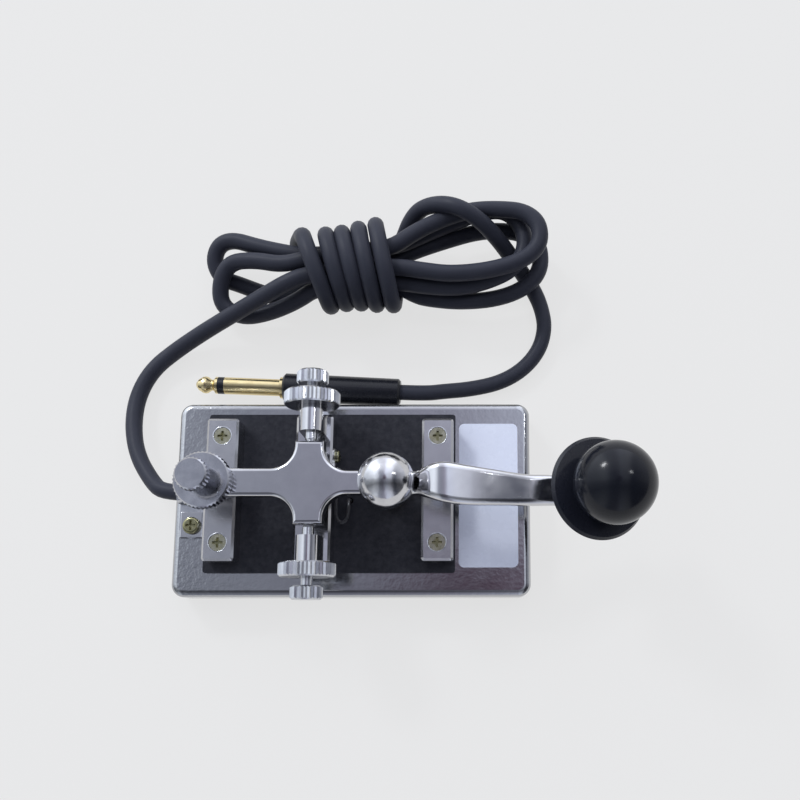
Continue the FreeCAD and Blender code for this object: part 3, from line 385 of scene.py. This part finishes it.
def surface(name, colour, second, metallic=0.0, rough=(0.2, 0.3), patch=60.0, grain=900.0,
            bump=0.05, depth=0.00002, streak=(1.0, 1.0, 1.0), coat=0.0, coat_rough=0.1,
            sheen=0.0, specular=0.5, wear=None, turned=0.0, grain_detail=4.0, calm_from=None):
    """Two close colours in patches, roughness in smaller ones, and a fine relief.

    wear is the colour of rubbed edges, turned how far gloss is drawn out round the Z axis, as
    on a turned part, and calm_from the place along X from which the relief grows weaker.
    """
    material = bpy.data.materials.new(name)
    material.use_nodes = True
    tree = material.node_tree
    shader = tree.nodes["Principled BSDF"]
    shader.inputs["Metallic"].default_value = metallic
    shader.inputs["Coat Weight"].default_value = coat
    shader.inputs["Coat Roughness"].default_value = coat_rough
    shader.inputs["Sheen Weight"].default_value = sheen
    shader.inputs["Specular IOR Level"].default_value = specular
    if turned:
        shader.inputs["Anisotropic"].default_value = turned
        tangent = tree.nodes.new("ShaderNodeTangent")
        tangent.direction_type = "RADIAL"
        tangent.axis = "Z"
        tree.links.new(tangent.outputs[0], shader.inputs["Tangent"])
    where = tree.nodes.new("ShaderNodeTexCoord").outputs["Object"]
    stretch = tree.nodes.new("ShaderNodeMapping")
    stretch.inputs["Scale"].default_value = streak
    tree.links.new(where, stretch.inputs["Vector"])
    stretched = stretch.outputs["Vector"]

    def noise(place, scale, detail, roughness):
        node = tree.nodes.new("ShaderNodeTexNoise")
        node.inputs["Scale"].default_value = scale
        node.inputs["Detail"].default_value = detail
        node.inputs["Roughness"].default_value = roughness
        tree.links.new(place, node.inputs["Vector"])
        return node.outputs["Fac"]

    patches = noise(where, patch, *PATCH_NOISE)
    paint = colour_ramp(tree, patches, tuple(zip(PATCH_RANGE, (colour, second))))
    if wear is not None:
        edges = tree.nodes.new("ShaderNodeNewGeometry").outputs["Pointiness"]
        edges = colour_ramp(tree, edges, tuple(zip(WEAR_RANGE, (grey(0.0), grey(WEAR_COVER)))))
        amount = calculated(tree, "MULTIPLY", edges, noise(where, WEAR_SCALE, *WEAR_NOISE))
        paint = mixed(tree, paint, (*wear, 1.0), amount)
    tree.links.new(paint, shader.inputs["Base Color"])

    spots = noise(stretched, patch * ROUGH_FINER, *ROUGH_NOISE)
    tree.links.new(mapped(tree, spots, ROUGH_RANGE, rough), shader.inputs["Roughness"])

    relief = tree.nodes.new("ShaderNodeBump")
    strength = bump
    if calm_from is not None:
        split = tree.nodes.new("ShaderNodeSeparateXYZ")
        tree.links.new(where, split.inputs[0])
        strength = mapped(tree, split.outputs["X"], (calm_from, calm_from + CALM_LENGTH),
                          (bump, bump * CALM_SHARE))
    put(tree, relief.inputs["Strength"], strength)
    relief.inputs["Distance"].default_value = depth
    height = noise(stretched, grain, grain_detail, GRAIN_ROUGHNESS)
    tree.links.new(height, relief.inputs["Height"])
    tree.links.new(relief.outputs[0], shader.inputs["Normal"])
    return material


def metal(name, colour, second, **rest):
    return surface(name, colour, second, metallic=1.0, **rest)


BASE_CHROME = metal(
    "base_chrome", (0.43, 0.435, 0.45), (0.485, 0.49, 0.505), rough=(0.1, 0.16), patch=45.0,
    grain=620.0, bump=0.6, depth=0.00016, grain_detail=2.0, calm_from=-0.058)
LEVER_CHROME = metal(
    "lever_chrome", (0.56, 0.56, 0.58), (0.63, 0.63, 0.65), rough=(0.1, 0.16), patch=90.0,
    grain=260.0, bump=0.2, depth=0.00005)
NUT_CHROME = metal(
    "nut_chrome", (0.52, 0.53, 0.56), (0.62, 0.63, 0.66), rough=(0.16, 0.26), patch=240.0,
    grain=700.0, bump=0.25, depth=0.00004)
TURNED_CHROME = metal(
    "turned_chrome", (0.43, 0.435, 0.47), (0.57, 0.575, 0.61), rough=(0.12, 0.2), patch=130.0,
    grain=260.0, bump=0.3, depth=0.00012, turned=0.7)
DOME_CHROME = metal(
    "dome_chrome", (0.56, 0.56, 0.58), (0.66, 0.66, 0.68), rough=(0.12, 0.2), patch=200.0,
    grain=190.0, bump=0.5, depth=0.0003, grain_detail=2.0)
BAR_NICKEL = metal(
    "bar_nickel", (0.5, 0.5, 0.52), (0.56, 0.56, 0.58), rough=(0.2, 0.27), patch=120.0,
    grain=700.0, bump=0.08, depth=0.00003)
SCREW_ZINC = metal(
    "screw_zinc", (0.225, 0.225, 0.135), (0.35, 0.325, 0.175), rough=(0.2, 0.32), patch=500.0,
    grain=1800.0, bump=0.3, depth=0.00003, wear=(0.75, 0.74, 0.66))
HIDDEN_STEEL = metal(
    "hidden_steel", (0.36, 0.37, 0.38), (0.48, 0.48, 0.49), rough=(0.32, 0.5), patch=140.0,
    grain=900.0, bump=0.25, depth=0.00004)
SPRING_STEEL = metal(
    "spring_steel", (0.4, 0.4, 0.42), (0.5, 0.5, 0.52), rough=(0.22, 0.34), patch=300.0,
    grain=1500.0, bump=0.2, depth=0.00003, streak=(1.0, 1.0, 0.15))
CONTACT_SILVER = metal(
    "contact_silver", (0.68, 0.68, 0.65), (0.8, 0.8, 0.78), rough=(0.2, 0.34), patch=500.0,
    grain=1500.0, bump=0.2, depth=0.00002)
BRASS = metal(
    "brass", (0.62, 0.45, 0.19), (0.72, 0.55, 0.27), rough=(0.2, 0.34), patch=320.0,
    grain=1200.0, bump=0.2, depth=0.00003)
PLUG_GOLD = metal(
    "plug_gold", (0.77, 0.63, 0.34), (0.84, 0.71, 0.41), rough=(0.16, 0.26), patch=260.0,
    grain=900.0, bump=0.15, depth=0.00003)
PLATE_BLACK = surface(
    "plate_black", (0.0085, 0.0095, 0.0145), (0.0092, 0.0104, 0.0156), rough=(0.24, 0.27),
    patch=90.0, grain=1300.0, bump=0.03, depth=0.00001, specular=0.12,
    wear=(0.07, 0.07, 0.08))
BUSH_WHITE = surface(
    "bush_white", (0.74, 0.73, 0.69), (0.8, 0.79, 0.75), rough=(0.4, 0.55), patch=200.0,
    grain=900.0, bump=0.1, depth=0.00002)
KNOB_BLACK = surface(
    "knob_black", (0.0085, 0.0098, 0.0145), (0.0105, 0.012, 0.0175), rough=(0.14, 0.18),
    patch=110.0, grain=340.0, bump=0.06, depth=0.00003, specular=0.24)
SKIRT_BLACK = surface(
    "skirt_black", (0.011, 0.0125, 0.0195), (0.013, 0.0145, 0.0225), rough=(0.24, 0.32),
    patch=130.0, grain=500.0, bump=0.08, depth=0.00003, specular=0.35)
LABEL_WHITE = surface(
    "label_white", (0.78, 0.82, 0.95), (0.82, 0.86, 0.98), rough=(0.22, 0.34), patch=70.0,
    grain=300.0, bump=0.2, depth=0.00006, coat=0.25, coat_rough=0.15)
PAD_RUBBER = surface(
    "pad_rubber", (0.02, 0.02, 0.021), (0.032, 0.031, 0.031), rough=(0.7, 0.85), patch=90.0,
    grain=1500.0, bump=0.5, depth=0.00008, sheen=0.1, specular=0.3)
CABLE_BLACK = surface(
    "cable_black", (0.036, 0.0385, 0.052), (0.042, 0.0445, 0.06), rough=(0.42, 0.52),
    patch=90.0, grain=900.0, bump=0.18, depth=0.00004, specular=0.14)
WIRE_BLACK = surface(
    "wire_black", (0.045, 0.045, 0.05), (0.065, 0.065, 0.07), rough=(0.24, 0.34), patch=160.0,
    grain=1500.0, bump=0.15, depth=0.00003)
WIRE_RED = surface(
    "wire_red", (0.42, 0.03, 0.022), (0.52, 0.045, 0.03), rough=(0.3, 0.42), patch=160.0,
    grain=1500.0, bump=0.2, depth=0.00003)
PLUG_BLACK = surface(
    "plug_black", (0.008, 0.009, 0.0135), (0.0115, 0.0125, 0.018), rough=(0.24, 0.32),
    patch=120.0, grain=700.0, bump=0.06, depth=0.00003, specular=0.4)

FINISHES = (
    (BASE_CHROME, ("base",)),
    (LEVER_CHROME, ("lever", "pivot_bracket")),
    (NUT_CHROME, ("left_pivot_screw", "right_pivot_screw", "left_lock_nut", "right_lock_nut",
                  "cable_clip")),
    (TURNED_CHROME, ("rear_contact_screw", "rear_lock_nut")),
    (DOME_CHROME, ("spring_cap",)),
    (BAR_NICKEL, ("rear_contact_bar", "front_contact_bar")),
    (SCREW_ZINC, ("bottom_cover_screws", "contact_bar_screws", "contact_bar_washers",
                  "contact_bar_nuts", "bracket_lug_screw", "cable_clip_screw")),
    (HIDDEN_STEEL, ("bottom_cover", "bracket_screws", "pivot_cups", "knob_screw")),
    (SPRING_STEEL, ("return_spring",)),
    (CONTACT_SILVER, ("rear_anvil", "front_anvil", "front_contact_stud", "bracket_lug",
                      "front_bar_lug")),
    (BRASS, ("spring_seat", "spring_cup")),
    (PLUG_GOLD, ("plug_sleeve", "plug_tip")),
    (PLATE_BLACK, ("insulating_plate",)),
    (BUSH_WHITE, ("insulating_bushes",)),
    (KNOB_BLACK, ("knob_top",)),
    (SKIRT_BLACK, ("knob_skirt",)),
    (LABEL_WHITE, ("blank_label",)),
    (PAD_RUBBER, ("rubber_pad",)),
    (CABLE_BLACK, ("cable_lead", "cable_hank", "cable_tail")),
    (WIRE_BLACK, ("bracket_wire",)),
    (WIRE_RED, ("front_bar_wire",)),
    (PLUG_BLACK, ("plug_barrel", "plug_insulator")),
)
for material, names in FINISHES:
    for name in names:
        nodes[name].data.materials.clear()
        nodes[name].data.materials.append(material)
cable.data.materials.append(CABLE_BLACK)


# New pieces
def join_rings(bm, rings, smooth):
    """Four-sided faces between each ring of points and the next."""
    for ring, following in zip(rings, rings[1:]):
        for i in range(len(ring)):
            after = (i + 1) % len(ring)
            face = bm.faces.new((ring[i], ring[after], following[after], following[i]))
            face.smooth = smooth


def make_piece(name, bm, material):
    bmesh.ops.recalc_face_normals(bm, faces=bm.faces)
    mesh = bpy.data.meshes.new(name)
    bm.to_mesh(mesh)
    bm.free()
    mesh.materials.append(material)
    piece = bpy.data.objects.new(name, mesh)
    scene.collection.objects.link(piece)
    return piece


# A thin raised rim round each of the four screws in the contact bars. Its profile gives the
# distance from the screw's axis and the height over the bar.
BAR_TOP = 24.0
BAR_SCREWS = ((-44.6, -16.9), (-44.6, 20.5), (30.7, -16.9), (30.7, 20.5))
RIM_PROFILE = (
    (2.98, -0.02), (3.04, 0.05), (3.14, 0.085), (3.26, 0.085), (3.36, 0.045), (3.4, -0.02),
)
RIM_STEPS = 56


def make_rims():
    bm = bmesh.new()
    for x, y in BAR_SCREWS:
        rings = []
        for step in range(RIM_STEPS):
            angle = TURN * step / RIM_STEPS
            across, along = math.cos(angle), math.sin(angle)
            rings.append([
                bm.verts.new(((x + r * across) * MM, (y + r * along) * MM, (BAR_TOP + z) * MM))
                for r, z in RIM_PROFILE
            ])
        join_rings(bm, rings + rings[:1], smooth=True)
    return make_piece("bar_screw_rims", bm, NUT_CHROME)


rims = make_rims()
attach(rims, "base")


# The rectangular foot of the cable clip, with broken edges and a hole for the clip's screw. It
# lies over the end of the clip's strap.
FOOT_SCREW = (-56.5, -10.0)
FOOT_CENTRE = (-56.8, -9.6)
FOOT_HALF = (4.05, 4.8)
FOOT_CORNER = 0.5
CORNER_STEPS = 6
SIDE_STEPS = 7
FOOT_HOLE = 1.75
FOOT_BOTTOM, FOOT_TOP = 13.52, 14.45
# How far in from the outline and how far under the top the broken edge runs
FOOT_EDGE = ((0.42, 0.0), (0.12, 0.09), (0.0, 0.3))


def foot_outline(inset):
    radius = FOOT_CORNER - inset
    corners = []
    for quarter, (side_x, side_y) in enumerate(((1, 1), (-1, 1), (-1, -1), (1, -1))):
        x = FOOT_CENTRE[0] + side_x * (FOOT_HALF[0] - FOOT_CORNER)
        y = FOOT_CENTRE[1] + side_y * (FOOT_HALF[1] - FOOT_CORNER)
        angles = [TURN / 4 * (quarter + k / CORNER_STEPS) for k in range(CORNER_STEPS + 1)]
        corners.append([(x + radius * math.cos(a), y + radius * math.sin(a)) for a in angles])
    outline = []
    for corner, following in zip(corners, corners[1:] + corners[:1]):
        (x, y), (next_x, next_y) = corner[-1], following[0]
        outline += corner
        outline += [(x + (next_x - x) * k / SIDE_STEPS, y + (next_y - y) * k / SIDE_STEPS)
                    for k in range(1, SIDE_STEPS)]
    return outline


def make_foot():
    outline = foot_outline(0.0)
    hole = []
    for x, y in outline:
        angle = math.atan2(y - FOOT_SCREW[1], x - FOOT_SCREW[0])
        hole.append((FOOT_SCREW[0] + FOOT_HOLE * math.cos(angle),
                     FOOT_SCREW[1] + FOOT_HOLE * math.sin(angle)))
    levels = [(hole, FOOT_BOTTOM), (hole, FOOT_TOP)]
    levels += [(foot_outline(inset), FOOT_TOP - under) for inset, under in FOOT_EDGE]
    levels += [(outline, FOOT_BOTTOM)]
    bm = bmesh.new()
    rings = [[bm.verts.new(Vector((x, y, z)) * MM) for x, y in points] for points, z in levels]
    join_rings(bm, rings + rings[:1], smooth=False)
    return make_piece("cable_clip_foot", bm, LEVER_CHROME)


foot = make_foot()
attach(foot, "base")


# The return spring: wound wire with closed end turns, from its cup on the plate up to the seat
# under the lever, which presses it together
SPRING_AXIS = (14.5, 1.8)
SPRING_FOOT, SPRING_TOP = 16.36, 27.49
SPRING_RADIUS = 3.4
SPRING_TURNS = 6
SPRING_END_RISE = 0.96
WIRE_HALF = 0.44
WIRE_STEPS = 36
WIRE_SIDES = 12


def spring_height(turn):
    low, high = SPRING_FOOT + SPRING_END_RISE, SPRING_TOP - SPRING_END_RISE
    if turn < 1:
        return SPRING_FOOT + SPRING_END_RISE * turn
    if turn > SPRING_TURNS - 1:
        return high + SPRING_END_RISE * (turn - SPRING_TURNS + 1)
    return low + (high - low) * (turn - 1) / (SPRING_TURNS - 2)


def make_spring():
    bm = bmesh.new()
    sides = [TURN * k / WIRE_SIDES for k in range(WIRE_SIDES)]
    rings = []
    for step in range(SPRING_TURNS * WIRE_STEPS + 1):
        turn = step / WIRE_STEPS
        outward = Vector((math.cos(turn * TURN), math.sin(turn * TURN), 0.0))
        middle = Vector((*SPRING_AXIS, spring_height(turn))) + outward * SPRING_RADIUS
        rings.append([
            bm.verts.new((middle + outward * (WIRE_HALF * math.cos(side)) +
                          Vector((0.0, 0.0, WIRE_HALF * math.sin(side)))) * MM)
            for side in sides
        ])
    join_rings(bm, rings, smooth=True)
    bm.faces.new(rings[0])
    bm.faces.new(rings[-1])
    return make_piece("wound_spring", bm, SPRING_STEEL)


spring = make_spring()
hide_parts("return_spring")
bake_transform(spring)
